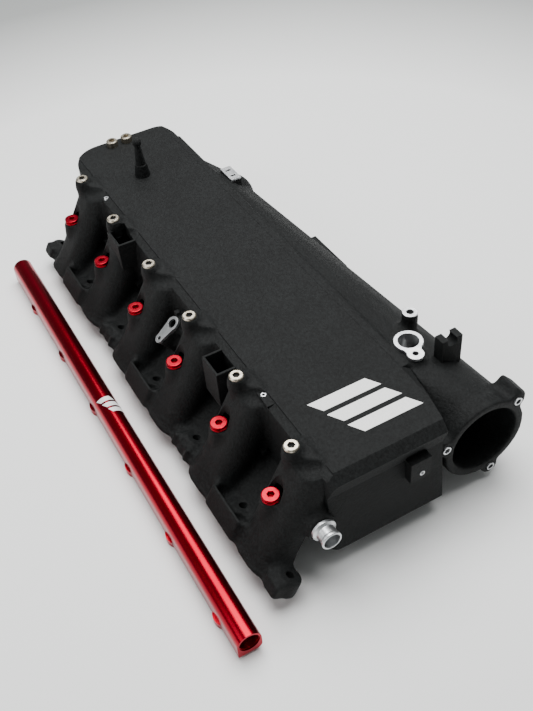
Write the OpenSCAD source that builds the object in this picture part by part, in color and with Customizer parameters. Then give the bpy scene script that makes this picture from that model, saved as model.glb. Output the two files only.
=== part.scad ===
// Straight-six intake manifold with a loose fuel rail lying beside it.
// X runs along the engine, from the closed end to the throttle end.
// Y runs from the cylinder head towards the throttle duct.
// Z is up from the surface that the manifold rests on.
// Every size is in millimetres.

/* [Ports] */
// Spacing of the six cylinders along X
cyl_pitch = 91; // [90:0.5:92]
// Tilt of the head flange away from level
flange_tilt = 30; // [28:1:32]
// Height of the head flange along its tilted face
flange_h = 42; // [41:1:44]
// Thickness of the flange plate
flange_t = 5; // [4:0.5:6]
// Radius of a hole for a cylinder head stud
stud_hole_r = 3.75; // [3:0.25:4.5]
// Width of a runner along X
runner_w = 50; // [48:1:52]
// Height of a runner across its flow
runner_h = 33; // [31:1:35]
// Wall of the printed runners
runner_wall = 3.5; // [3:0.5:4.5]

/* [Plenum] */
// Length of the plenum along X
plenum_l = 567; // [560:1:575]
// Level of the top of the plenum
top_z = 111; // [109:1:113]
// Level of the underside of the plenum
plenum_z0 = 21; // [18:1:24]
// Wall of the plenum
plenum_wall = 5; // [4:0.5:5]
// Corner radius at the closed end, runner side
far_left_r = 34; // [28:1:38]
// Corner radius at the closed end, duct side
far_right_r = 20; // [16:1:24]
// Corner radius at the throttle end, runner side
near_left_r = 9; // [6:1:12]

/* [Throttle] */
// Radius of the throttle bore
throat_r = 33; // [31:0.5:34]
// Radius of the flange ring around the bore
ring_r = 41; // [40:0.5:42]
// Pitch circle diameter of the three throttle bolts
throttle_pcd = 85.7; // [84:0.1:88]
// Angle of the first bolt above level
bolt_angle = 43.8; // [42:0.2:46]
// Thickness of the throttle flange
ring_t = 14; // [12:1:16]

/* [Fuel rail] */
// Length of the fuel rail
rail_l = 557; // [550:1:560]
// Radius of the round top of the rail
rail_r = 10.7; // [10.2:0.1:11.2]
// Radius of the fuel bore
rail_bore_r = 8; // [7:0.25:8.4]
// Radius of the threaded counterbore at each end
rail_port_r = 9; // [8.75:0.25:9.25]
// Radius of the injector cup collars
cup_r = 13; // [12:0.5:14]

/* [Fittings] */
// Radius of the head of a pipe plug
pipe_head_r = 6.5; // [6:0.25:7]
// Radius of the red blanking plug's rim
inj_head_r = 8; // [7.5:0.25:8.5]
// Outside radius of the hose fitting
hose_r = 9; // [8:0.25:9.5]
// Inside radius of the sensor port ring
sensor_r = 9.3; // [8.5:0.1:10]

/* [Hidden] */
$fn = 64;
HULL_FN = 32;
EPS = 0.02;
CLEAR = 0.1;
CUT = 1;
LONG = 60;
PORTS = [0:5];

// Flange position: its lowest edge touches the resting plane
flange_edge_y = -58.3;
flange_edge_z = flange_h * sin(flange_tilt);
port_v = 22;
port_dx = 8.5;
bore_w = runner_w - 2 * runner_wall;
bore_h = runner_h - 2 * runner_wall;
rim_w = 54;
rim_t = 7;
runner_w0 = flange_t + rim_t;
runner_len = 130;
lug_r = 11;
lug_t = 17;
lug_v = 20;
end_lug_inset = 2;
end_lug_v0 = 4;
end_lug_drop = 4;
web_t = 3;
web_top = 22;
rib_dv = 6;
pad_edge = 2;
plate_inset = 8;
notch_r = 1.6;
stud_x = [-32, 54.5, 145.5, 236.5, 327.5, 418.5, 499];
gasket_t = 2.4;
gasket_proud = 0.6;
gasket_gap = 2;
gasket_w = 3;

// Plenum extents
plenum_x0 = -70;
plenum_x1 = plenum_x0 + plenum_l;
plenum_y0 = 8.5;
plenum_y1 = 134;
ridge_y = 125;
ridge_drop = 5;
near_right_y = 119;
near_right_x = [plenum_x1 - 77, plenum_x1 - 7];
crease_y = 16;
cover_t = 5;
cover_z = top_z - cover_t;
strip_z = top_z - 1;
left_edge_z = top_z - 3.5;
passage_top_z = top_z - 14;
front_chamfer = 8;
front_waist_x = plenum_x1 - 6;
front_waist_z = top_z - 26;
cavity_x1 = front_waist_x - plenum_wall;
bolt_pad = [11, 20, 22];
bolt_pad_pos = [plenum_x1 - 8, 82, 65];
edge_pad_x = 374;
edge_pad_l = 27;
edge_pad_h = 4.5;
edge_pad_z0 = left_edge_z - 2;
edge_insert_x = [-3, 36.6, edge_pad_x + edge_pad_l / 2];
edge_insert_y = 12.2;
front_insert_pos = [93, 72];
small_insert_r = 2.4;
small_insert_bore_r = 1.3;
small_insert_l = 8;
small_insert_proud = 0.6;

// Pipe plugs over the runners and at the closed end
pipe_pad_z = top_z + 3;
pipe_boss_r = 8.4;
pipe_boss_h = 34;
pipe_pad_t = 6;
pipe_pad_reach = 22;
pipe_hole_r = 5;
pipe_head_h = 7;
pipe_body_l = 9;
pipe_hex = 6;
pipe_hex_depth = 5;
pipe_chamfer = 1;
end_plug_x = -59.5;
end_plug_y = [59, 77];

// Injector ports
inj_dx = 1.8;
inj_y = -22.6;
inj_rim_z = 72.6;
inj_boss_r = 9.25;
inj_foot_r = 13;
inj_boss_h = 34;
inj_bore_r = 7;
inj_bore_l = 22;
inj_scoop_r = 10.6;
inj_face_w = 20;
inj_head_h = 4.8;
inj_groove_z = [1.5, 3.2];
inj_groove_d = 1.5;
inj_edge = 0.4;
inj_stem_l = 12;
inj_seal_z = [5, 7.4];
inj_seal_d = 1.7;
inj_seal_r = 0.82;
inj_hex = 5.6;
inj_hex_depth = 4;

// Throttle duct along the plenum's side
throat_y = 166.5;
throat_z = 57;
ring_x1 = 490;
ring_x0 = ring_x1 - ring_t;
duct_r = 39.5;
duct_far_x = 60;
duct_far_r = 24;
duct_far_y = 143.5;
duct_far_z = 71;
duct_far_t = 20;
duct_near_t = 6;
duct_end_wall = 5;
blister_r = 27;
blister_y = 148;
ridge_x0 = 20;
ridge_x1 = 420;
ridge_z0 = 30;
shoulder_x = [390, 436];
shoulder_y = 156;
shoulder_z = 102;
window_x = [80, 400];
window_z = [34, 94];
lug_block_r = 52;
lug_block_b = 8.5;
lug_block_x0 = 466;
lug_block_back = 3;
lug_block_root = 6;
throttle_lug_r = 8.5;
insert_r = 4;
insert_bore_r = 2.6;
insert_l = 12;
insert_proud = 1;

// Small fittings on the duct and the cover
sensor_pos = [401, 148.6, 109];
sensor_or = 13;
sensor_hole_r = 9.8;
sensor_tab = [16.3, -4.2];
sensor_tab_r = 7.6;
sensor_neck = [[9, 7.5], [16.3, 2.3], [13.3, -10.2], [5, -10.5]];
sensor_ring_t = 3;
sensor_boss_h = 30;
cover_boss_pos = [376, 168, 116];
cover_boss_r = 7.4;
cover_boss_h = 40;
cover_insert_r = 4.2;
cover_insert_bore_r = 3.3;
cover_insert_l = 12;
cover_insert_rim_t = 1.5;
cover_insert_rim_in = 0.4;
clip_pos = [424, 173.5, 123];
clip_size = [11, 21, 50];
clip_notch_r = 5;
clip_mouth = 3.8;
clip_notch_drop = 3;
plate_pos = [65, 149, 105.5];
plate_size = [27, 12, 2];
plate_slot_x = 6;
plate_slot = [6.4, 2.8];
plate_block_h = 22;
tab_x = [178, 240];
tab_y1 = 189;
tab_z = [67, 71];
post_pos = [19, 63.3];
post_h = 41;
post_foot = [8.5, 6.6, 14];
post_stem = [5.6, 3.4, 24];
ball_r = 5.2;
hose_pos = [0.7, 61];
hose_boss_r = 13;
hose_x0 = 484;
hose_face_x = 497;
hose_x1 = 511;
hose_bore_r = 7.2;
hose_root_r = 7.6;
hose_socket_l = 14;
hose_stem_l = 12;
hose_seal_x = [6.8, 9];
hose_seal_d = 1.4;
hose_seal_r = 0.66;
hose_collar = [1.8, 2.5, 4];
hose_neck_in = 0.8;
hose_bead = [3.5, 2.5, 0.6];
hose_land = 2;
adapter_x = 240;
adapter_y = -5;
adapter_z = 87;
adapter_tilt = 36;
adapter_len = 18.7;
adapter_r = 7.2;
adapter_foot_r = 4.8;
adapter_bore_r = 4.6;
adapter_hole_r = 5;
adapter_screw_r = 2;
adapter_screw_hole_r = 2.3;
adapter_side = [0.4, 0.2];
adapter_boss_l = 50;
adapter_hole_l = 16;
adapter_t = 3;
bracket_y0 = -11;
bracket_wall = 2.6;
bracket_top_z = 110;
bracket_x = [[96, 126], [317, 346]];
bracket_z0 = [80, 70];
bracket_floor_z = [100.5, 76];

// Fuel rail
rail_x0 = -28;
rail_x1 = rail_x0 + rail_l;
rail_y = -86.5;
rail_flat = 13.2;
rail_corner_r = 5;
cup_h = 3;
cup_dx = 36;
cup_bore_r = 6.9;
cup_depth = 9;
rail_port_l = 18;
rail_z = cup_h + rail_flat;
rail_mark_x = 228;
rail_mark_l = 40;
rail_mark_t = 0.25;
rail_mark_in = [4, 8];
emblem_pos = [418, 36];
emblem_t = 0.4;
emblem_bar = [56, 13, 5, 16];
rail_mark_bar = [13, 6, 2.5, 6];

// Frame: the middle of the overall box, on the resting plane
x_min = plenum_x0;
x_max = rail_x1;
y_min = rail_y - cup_r;
y_max = throat_y + lug_block_r * cos(bolt_angle) + lug_block_b * sin(bolt_angle);
mid = [(x_min + x_max) / 2, (y_min + y_max) / 2];

function plug_x(k) = k * cyl_pitch;
function port_x(k) = k * cyl_pitch + port_dx;
function inj_x(k) = k * cyl_pitch + inj_dx;

module placed() {
    translate([-mid.x, -mid.y, 0]) children();
}

// Flange frame: X along the engine, Y down the face, Z out along the runners
module on_flange() {
    translate([0, flange_edge_y, flange_edge_z])
        rotate([-flange_tilt, 0, 0])
            children();
}

module stadium(w, h) {
    square([w - h, h], center = true);
    for (side = [-1, 1])
        translate([side * (w - h) / 2, 0]) circle(d = h);
}

module tube(outer_r, inner_r, h) {
    difference() {
        cylinder(r = outer_r, h = h);
        translate([0, 0, -CUT]) cylinder(r = inner_r, h = h + 2 * CUT);
    }
}

// Along +X from x0 to x1, on the line through the given y and z
module along_x(x0, x1, y, z, r) {
    translate([x0, y, z])
        rotate([0, 90, 0])
            cylinder(r = r, h = x1 - x0);
}

// ---------- plenum ----------

module plan_outline(inset) {
    x0 = plenum_x0 + inset;
    x1 = plenum_x1 - inset;
    y0 = plenum_y0 + inset;
    y1 = plenum_y1 - inset;
    a = far_left_r - inset;
    b = far_right_r - inset;
    c = near_left_r - inset / 2;
    polygon([[x0 + a, y0], [x1 - c, y0], [x1, y0 + c], [x1, near_right_y - inset],
        [near_right_x[1], near_right_y - inset], [near_right_x[0], y1], [x0 + b, y1],
        [x0, y1 - b], [x0, y0 + a]]);
    translate([x0 + a, y0 + a]) circle(r = a);
    translate([x0 + b, y1 - b]) circle(r = b);
    translate([x1 - c, y0 + c]) circle(r = c);
}

module plenum_outer() {
    intersection() {
        linear_extrude(top_z + CUT) plan_outline(0);
        translate([0, plenum_y1 + CUT, 0])
            rotate([90, 0, 0])
                linear_extrude(plenum_y1 - plenum_y0 + 2 * CUT)
                    polygon([[plenum_x0 - CUT, plenum_z0], [plenum_x1, plenum_z0],
                        [front_waist_x, front_waist_z],
                        [plenum_x1, top_z - front_chamfer],
                        [plenum_x1 - front_chamfer, top_z], [plenum_x0 - CUT, top_z]]);
        translate([plenum_x0 - CUT, 0, 0])
            rotate([90, 0, 90])
                linear_extrude(plenum_l + 2 * CUT)
                    polygon([[plenum_y0, plenum_z0], [plenum_y1, plenum_z0],
                        [plenum_y1, top_z - ridge_drop], [ridge_y, top_z],
                        [crease_y, top_z], [crease_y, strip_z],
                        [plenum_y0, left_edge_z]]);
    }
}

module cover_zone() {
    translate([plenum_x0 - CUT, crease_y, cover_z])
        cube([plenum_l + 2 * CUT, ridge_y - crease_y, cover_t + CUT]);
}

module plenum_cavity() {
    translate([0, 0, plenum_z0 + plenum_wall])
        linear_extrude(cover_z - plenum_z0 - plenum_wall + CUT)
            intersection() {
                plan_outline(plenum_wall);
                translate([plenum_x0, 0])
                    square([cavity_x1 - plenum_x0, ridge_y]);
            }
}

module runner_passage(k) {
    intersection() {
        on_flange()
            translate([port_x(k), port_v, -CUT])
                linear_extrude(runner_len + CUT)
                    stadium(bore_w, bore_h);
        translate([port_x(k) - runner_w, flange_edge_y, -CUT])
            cube([2 * runner_w, plenum_y0 + plenum_wall + CUT - flange_edge_y,
                passage_top_z + CUT]);
    }
}

module end_plug_places() {
    for (y = end_plug_y)
        translate([end_plug_x, y, top_z]) children();
}

module edge_insert_places() {
    for (x = edge_insert_x)
        translate([x, edge_insert_y, strip_z - small_insert_l]) children();
}

module front_insert_place() {
    translate([bolt_pad_pos.x + bolt_pad.x, front_insert_pos[0], front_insert_pos[1]])
        rotate([0, 90, 0])
            translate([0, 0, -small_insert_l]) children();
}

module small_insert() {
    tube(small_insert_r, small_insert_bore_r, small_insert_l + small_insert_proud);
}

module small_insert_hole() {
    cylinder(r = small_insert_r, h = small_insert_l + 2 * edge_pad_h);
}

module edge_pad() {
    translate([edge_pad_x, plenum_y0, edge_pad_z0])
        cube([edge_pad_l, crease_y - plenum_y0, edge_pad_h]);
}

module plenum_shell() {
    color("#2b2d2d") placed()
        difference() {
            union() {
                difference() {
                    plenum_outer();
                    cover_zone();
                    plenum_cavity();
                }
                translate([cavity_x1, bolt_pad_pos.y, bolt_pad_pos.z])
                    cube([bolt_pad_pos.x + bolt_pad.x - cavity_x1, bolt_pad.y, bolt_pad.z]);
                edge_pad();
            }
            for (k = PORTS) runner_passage(k);
            translate([window_x[0], ridge_y - CUT, window_z[0]])
                cube([window_x[1] - window_x[0], plenum_y1 - ridge_y + 2 * CUT,
                    window_z[1] - window_z[0]]);
            edge_insert_places() small_insert_hole();
            front_insert_place() small_insert_hole();
        }
}

module plenum_cover() {
    color("#37393a") placed()
        difference() {
            intersection() {
                plenum_outer();
                cover_zone();
            }
            end_plug_places()
                translate([0, 0, -2 * cover_t])
                    cylinder(r = pipe_hole_r, h = 3 * cover_t);
        }
}

// ---------- head flange ----------

module port_pad(k, w, h, t) {
    translate([port_x(k), flange_h / 2, 0])
        linear_extrude(t) stadium(w, h);
}

module port_foot_blank(k) {
    port_pad(k, rim_w + 2 * pad_edge, flange_h, flange_t);
    port_pad(k, rim_w, flange_h - 2 * pad_edge, runner_w0);
}

module runner_foot_room(k) {
    translate([port_x(k), port_v, runner_w0])
        linear_extrude(runner_len)
            stadium(runner_w + CLEAR, runner_h + CLEAR);
}

// Lug i with the plate, rib and gusset that fill the gap between ports i - 1 and i
module stud_lug_blank(i) {
    x = stud_x[i];
    first = i == 0;
    last = i == 6;
    x0 = first ? x : port_x(i - 1);
    x1 = last ? x : port_x(i);
    translate([x, lug_v, 0]) cylinder(r = lug_r, h = lug_t);
    translate([x0, plate_inset, 0])
        cube([x1 - x0, flange_h - 2 * plate_inset, flange_t]);
    if (first || last) {
        translate([x - lug_r + end_lug_inset, end_lug_v0, 0])
            cube([2 * (lug_r - end_lug_inset), lug_v - end_lug_v0, lug_t - end_lug_drop]);
    } else {
        translate([x0 + runner_w / 2, port_v + rib_dv, 0])
            cube([cyl_pitch - runner_w, web_t, lug_t - end_lug_drop]);
        if (i % 2 == 1) {
            translate([x0 + runner_w / 2, 0, 0])
                cube([cyl_pitch - runner_w, lug_v, flange_t]);
            translate([x0 + runner_w / 2, 0, 0])
                cube([cyl_pitch - runner_w, web_t, web_top]);
        }
    }
}

module gasket_outline() {
    inner_w = bore_w + 2 * gasket_gap;
    inner_h = bore_h + 2 * gasket_gap;
    difference() {
        stadium(inner_w + 2 * gasket_w, inner_h + 2 * gasket_w);
        stadium(inner_w, inner_h);
    }
}

module port_foot(k) {
    color("#232525") placed()
        difference() {
            on_flange()
                difference() {
                    port_foot_blank(k);
                    translate([port_x(k), 0, -CUT])
                        cylinder(r = notch_r, h = flange_t + CUT, $fn = 24);
                    translate([port_x(k), port_v, -CUT])
                        linear_extrude(gasket_t - gasket_proud + CUT)
                            gasket_outline();
                }
            runner_passage(k);
        }
}

module stud_lug(i) {
    color("#232525") placed()
        on_flange()
            difference() {
                stud_lug_blank(i);
                if (i > 0) {
                    port_foot_blank(i - 1);
                    runner_foot_room(i - 1);
                }
                if (i < 6) {
                    port_foot_blank(i);
                    runner_foot_room(i);
                }
                translate([stud_x[i], lug_v, -CUT])
                    cylinder(r = stud_hole_r, h = lug_t + 2 * CUT);
            }
}

module port_gasket(k) {
    color("#0c0d0d") placed()
        on_flange()
            translate([port_x(k), port_v, -gasket_proud])
                linear_extrude(gasket_t) gasket_outline();
}

// ---------- runners ----------

module runner_body(k) {
    intersection() {
        on_flange()
            translate([port_x(k), port_v, runner_w0])
                linear_extrude(runner_len)
                    stadium(runner_w, runner_h);
        translate([port_x(k) - runner_w, flange_edge_y - runner_w, 0])
            cube([2 * runner_w, runner_len, left_edge_z]);
    }
}

module injector_boss(k) {
    translate([inj_x(k), inj_y, inj_rim_z - inj_boss_h])
        cylinder(r1 = inj_foot_r, r2 = inj_boss_r, h = inj_boss_h);
}

module pipe_boss(k) {
    translate([plug_x(k), 0, pipe_pad_z - pipe_boss_h])
        cylinder(r = pipe_boss_r, h = pipe_boss_h);
    translate([plug_x(k), 0, pipe_pad_z - pipe_pad_t])
        linear_extrude(pipe_pad_t)
            polygon([[-pipe_boss_r, 0], [-pipe_boss_r, crease_y], [pipe_pad_reach, crease_y],
                [pipe_boss_r, 0]]);
}

module hose_boss() {
    along_x(hose_x0, hose_face_x, hose_pos[0], hose_pos[1], hose_boss_r);
}

module bracket_box(i) {
    translate([bracket_x[i][0], bracket_y0, bracket_z0[i]])
        cube([bracket_x[i][1] - bracket_x[i][0], plenum_y0 - bracket_y0,
            bracket_top_z - bracket_z0[i]]);
}

module bracket_pocket(i) {
    translate([bracket_x[i][0] + bracket_wall, bracket_y0 + bracket_wall,
        bracket_floor_z[i]])
        cube([bracket_x[i][1] - bracket_x[i][0] - 2 * bracket_wall,
            plenum_y0 - bracket_y0 - bracket_wall, LONG]);
}

module rear_bracket_room() {
    difference() {
        bracket_box(0);
        pipe_boss(1);
    }
    bracket_pocket(0);
}

module runner(k) {
    color("#1d1f1f") placed()
        difference() {
            union() {
                runner_body(k);
                pipe_boss(k);
                intersection() {
                    injector_boss(k);
                    on_flange()
                        translate([port_x(k) - runner_w, -inj_face_w, runner_w0])
                            cube([2 * runner_w, runner_len, runner_len]);
                }
                if (k == 5) hose_boss();
            }
            plenum_outer();
            edge_pad();
            edge_insert_places() small_insert_hole();
            runner_passage(k);
            if (k == 1) rear_bracket_room();
            translate([plug_x(k), 0, passage_top_z - CUT])
                cylinder(r = pipe_hole_r, h = LONG);
            translate([inj_x(k), inj_y, inj_rim_z - inj_bore_l])
                cylinder(r = inj_bore_r, h = inj_bore_l + CUT);
            translate([inj_x(k), inj_y, inj_rim_z])
                cylinder(r = inj_scoop_r, h = LONG);
            if (k == 5)
                along_x(hose_face_x - hose_socket_l, hose_face_x + CUT, hose_pos[0],
                    hose_pos[1], hose_root_r);
        }
}

// ---------- plugs ----------

module hex_prism(af, h) {
    cylinder(d = af / cos(30), h = h, $fn = 6);
}

// Two rims with a groove between them
module injector_plug_head() {
    r = inj_head_r;
    root_r = inj_head_r - inj_groove_d;
    rotate_extrude()
        polygon([[0, 0], [r, 0], [r, inj_groove_z[0]],
            [root_r, inj_groove_z[0] + inj_edge], [root_r, inj_groove_z[1] - inj_edge],
            [r - inj_edge / 2, inj_groove_z[1]], [r - inj_edge / 2, inj_head_h - inj_edge],
            [r - 2 * inj_edge, inj_head_h], [0, inj_head_h]]);
}

// Plain stem with one O-ring groove
module injector_plug_stem() {
    r = inj_bore_r - CLEAR;
    rotate_extrude()
        polygon([[0, 0], [r, 0], [r, -inj_seal_z[0]], [r - inj_seal_d, -inj_seal_z[0]],
            [r - inj_seal_d, -inj_seal_z[1]], [r, -inj_seal_z[1]], [r, -inj_stem_l],
            [0, -inj_stem_l]]);
}

module injector_plug(k) {
    color("#c0182c") placed()
        translate([inj_x(k), inj_y, inj_rim_z])
            difference() {
                union() {
                    injector_plug_head();
                    injector_plug_stem();
                }
                translate([0, 0, inj_head_h - inj_hex_depth])
                    hex_prism(inj_hex, inj_hex_depth + CUT);
            }
}

module ring_seal(mid_r, cord_r) {
    rotate_extrude()
        translate([mid_r, 0]) circle(r = cord_r, $fn = 24);
}

module injector_plug_orings() {
    color("#101111") placed()
        for (k = PORTS)
            translate([inj_x(k), inj_y, inj_rim_z - (inj_seal_z[0] + inj_seal_z[1]) / 2])
                ring_seal(inj_bore_r - inj_seal_r, inj_seal_r);
}

module pipe_plug() {
    difference() {
        union() {
            rotate_extrude()
                polygon([[0, 0], [pipe_head_r, 0],
                    [pipe_head_r, pipe_head_h - pipe_chamfer],
                    [pipe_head_r - pipe_chamfer, pipe_head_h], [0, pipe_head_h]]);
            translate([0, 0, -pipe_body_l])
                cylinder(r = pipe_hole_r - CLEAR, h = pipe_body_l + EPS);
        }
        translate([0, 0, pipe_head_h - pipe_hex_depth])
            hex_prism(pipe_hex, pipe_hex_depth + CUT);
    }
}

module runner_pipe_plugs() {
    color("#cfc8ba") placed()
        for (k = PORTS)
            translate([plug_x(k), 0, pipe_pad_z]) pipe_plug();
}

module end_pipe_plugs() {
    color("#cfc8ba") placed()
        end_plug_places() pipe_plug();
}

// ---------- throttle side ----------

module duct_outer() {
    hull() {
        along_x(ring_x0 - duct_near_t, ring_x0, throat_y, throat_z, duct_r,
            $fn = HULL_FN);
        along_x(duct_far_x - duct_far_t, duct_far_x, duct_far_y, duct_far_z, duct_far_r,
            $fn = HULL_FN);
        translate([ridge_x0, plenum_y1, ridge_z0])
            cube([ridge_x1 - ridge_x0, 1, top_z - ridge_drop - ridge_z0]);
        translate([shoulder_x[0], plenum_y1, shoulder_z])
            cube([shoulder_x[1] - shoulder_x[0], shoulder_y - plenum_y1, 1]);
    }
    intersection() {
        translate([duct_far_x, blister_y, duct_far_z]) sphere(r = blister_r);
        translate([duct_far_x - blister_r, plenum_y1, duct_far_z - blister_r])
            cube(2 * blister_r);
    }
}

module duct_inner() {
    hull() {
        along_x(ring_x0 - duct_near_t, ring_x0 + CUT, throat_y, throat_z, throat_r,
            $fn = HULL_FN);
        along_x(duct_far_x - duct_far_t / 2, duct_far_x, duct_far_y, duct_far_z,
            duct_far_r - duct_end_wall, $fn = HULL_FN);
        translate([window_x[0], plenum_y1 - CUT, window_z[0]])
            cube([window_x[1] - window_x[0], 2 * CUT, window_z[1] - window_z[0]]);
    }
}

module sensor_hole() {
    translate([sensor_pos.x, sensor_pos.y, sensor_pos.z - sensor_boss_h])
        cylinder(r = sensor_hole_r, h = LONG);
}

module throttle_duct() {
    color("#2b2d2d") placed()
        difference() {
            duct_outer();
            duct_inner();
            plenum_outer();
            sensor_hole();
        }
}

module throttle_bolt_places() {
    for (i = [0:2])
        translate([0, throat_y, throat_z])
            rotate([bolt_angle + i * 120, 0, 0])
                translate([0, throttle_pcd / 2, 0])
                    children();
}

module lug_block() {
    translate([0, throat_y, throat_z])
        rotate([bolt_angle, 0, 0])
            translate([lug_block_x0, throttle_pcd / 2 - lug_block_root, -lug_block_b])
                cube([ring_x1 - lug_block_back - lug_block_x0,
                    lug_block_r - throttle_pcd / 2 + lug_block_root, 2 * lug_block_b]);
}

module throttle_flange() {
    color("#232525") placed()
        difference() {
            union() {
                along_x(ring_x0, ring_x1, throat_y, throat_z, ring_r);
                throttle_bolt_places()
                    along_x(ring_x0, ring_x1, 0, 0, throttle_lug_r);
                difference() {
                    lug_block();
                    duct_outer();
                }
            }
            along_x(ring_x0 - LONG, ring_x1 + CUT, throat_y, throat_z, throat_r);
            throttle_bolt_places()
                along_x(ring_x1 - insert_l, ring_x1 + CUT, 0, 0, insert_r);
            plenum_outer();
        }
}

module throttle_inserts() {
    color("#d4d6d8") placed()
        throttle_bolt_places()
            difference() {
                along_x(ring_x1 - insert_l, ring_x1 + insert_proud, 0, 0, insert_r);
                along_x(ring_x1 - insert_l - CUT, ring_x1 + 2 * CUT, 0, 0,
                    insert_bore_r);
            }
}

module duct_bracket() {
    color("#232525") placed()
        difference() {
            translate([tab_x[0], shoulder_y, tab_z[0]])
                cube([tab_x[1] - tab_x[0], tab_y1 - shoulder_y, tab_z[1] - tab_z[0]]);
            duct_outer();
        }
}

// ---------- brackets, bosses and posts ----------

module rail_bracket(i) {
    color("#1d1f1f") placed()
        difference() {
            bracket_box(i);
            bracket_pocket(i);
            plenum_outer();
            pipe_boss(1);
            runner_passage(1);
        }
}

module engine_cover_post() {
    color("#1b1c1c") placed()
        translate([post_pos[0], post_pos[1], top_z]) {
            cylinder(r1 = post_foot[0], r2 = post_foot[1], h = post_foot[2]);
            translate([0, 0, post_foot[2]])
                cylinder(r1 = post_stem[0], r2 = post_stem[1], h = post_stem[2]);
            translate([0, 0, post_h]) sphere(r = ball_r);
        }
}

module sensor_solid(h) {
    cylinder(r = sensor_or, h = h);
    translate([sensor_tab.x, sensor_tab.y, 0]) cylinder(r = sensor_tab_r, h = h);
    linear_extrude(h) polygon(sensor_neck);
}

module sensor_boss() {
    color("#232525") placed()
        difference() {
            translate([0, 0, -sensor_boss_h])
                translate(sensor_pos)
                    sensor_solid(sensor_boss_h);
            duct_outer();
            sensor_hole();
        }
}

module sensor_port_ring() {
    color("#d9dbdd") placed()
        translate(sensor_pos)
            difference() {
                sensor_solid(sensor_ring_t);
                translate([0, 0, -CUT])
                    cylinder(r = sensor_r, h = sensor_ring_t + 2 * CUT);
                translate([sensor_tab.x, sensor_tab.y, -CUT])
                    cylinder(r = insert_bore_r, h = sensor_ring_t + 2 * CUT);
            }
}

module cover_boss() {
    color("#1b1c1c") placed()
        difference() {
            translate(cover_boss_pos)
                translate([0, 0, -cover_boss_h])
                    cylinder(r = cover_boss_r, h = cover_boss_h);
            duct_outer();
            translate(cover_boss_pos)
                translate([0, 0, -cover_insert_l])
                    cylinder(r = cover_insert_r, h = cover_insert_l + CUT);
        }
}

module cover_boss_insert() {
    color("#d9dbdd") placed()
        translate(cover_boss_pos)
            difference() {
                union() {
                    translate([0, 0, -cover_insert_l])
                        cylinder(r = cover_insert_r, h = cover_insert_l);
                    cylinder(r = cover_boss_r - cover_insert_rim_in,
                        h = cover_insert_rim_t);
                }
                translate([0, 0, -cover_insert_l - CUT])
                    cylinder(r = cover_insert_bore_r, h = LONG);
            }
}

module clip_post() {
    color("#1b1c1c") placed()
        difference() {
            translate([clip_pos.x - clip_size.x / 2, clip_pos.y - clip_size.y / 2,
                clip_pos.z - clip_size.z])
                cube(clip_size);
            duct_outer();
            along_x(clip_pos.x - clip_size.x, clip_pos.x + clip_size.x, clip_pos.y,
                clip_pos.z - clip_notch_drop, clip_notch_r);
            translate([clip_pos.x - clip_size.x, clip_pos.y - clip_mouth,
                clip_pos.z - clip_notch_drop])
                cube([2 * clip_size.x, 2 * clip_mouth, LONG]);
        }
}

module plate_block() {
    color("#1b1c1c") placed()
        difference() {
            translate([plate_pos.x - plate_size.x / 2, plate_pos.y - plate_size.y / 2,
                plate_pos.z - plate_size.z - plate_block_h])
                cube([plate_size.x, plate_size.y, plate_block_h]);
            duct_outer();
        }
}

module slotted_plate() {
    color("#c9ccce") placed()
        translate([plate_pos.x, plate_pos.y, plate_pos.z - plate_size.z])
            difference() {
                translate([-plate_size.x / 2, -plate_size.y / 2, 0]) cube(plate_size);
                for (side = [-1, 1])
                    translate([side * plate_slot_x, 0, -CUT])
                        linear_extrude(plate_size.z + 2 * CUT)
                            rotate(90)
                                stadium(plate_slot[0], plate_slot[1]);
            }
}

// Adapter frame: Y up the slope of the runners, Z out of the face
module on_adapter() {
    translate([adapter_x, adapter_y, adapter_z])
        rotate([adapter_tilt, 0, 0])
            children();
}

module adapter_solid(h) {
    cylinder(r = adapter_r, h = h);
    translate([0, -adapter_len, 0]) cylinder(r = adapter_foot_r, h = h);
    linear_extrude(h)
        polygon([[-adapter_r + adapter_side[0], 0], [adapter_r - adapter_side[0], 0],
            [adapter_foot_r - adapter_side[1], -adapter_len],
            [-adapter_foot_r + adapter_side[1], -adapter_len]]);
}

module adapter_boss() {
    color("#1b1c1c") placed()
        difference() {
            on_adapter()
                difference() {
                    translate([0, 0, -adapter_boss_l]) adapter_solid(adapter_boss_l);
                    translate([0, 0, -adapter_hole_l])
                        cylinder(r = adapter_hole_r, h = LONG);
                    translate([0, -adapter_len, -adapter_hole_l])
                        cylinder(r = adapter_screw_hole_r, h = LONG);
                }
            plenum_outer();
        }
}

module vacuum_adapter() {
    color("#d9dbdd") placed()
        on_adapter()
            difference() {
                adapter_solid(adapter_t);
                translate([0, 0, -CUT])
                    cylinder(r = adapter_bore_r, h = adapter_t + 2 * CUT);
                translate([0, -adapter_len, -CUT])
                    cylinder(r = adapter_screw_r, h = adapter_t + 2 * CUT);
            }
}

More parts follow.
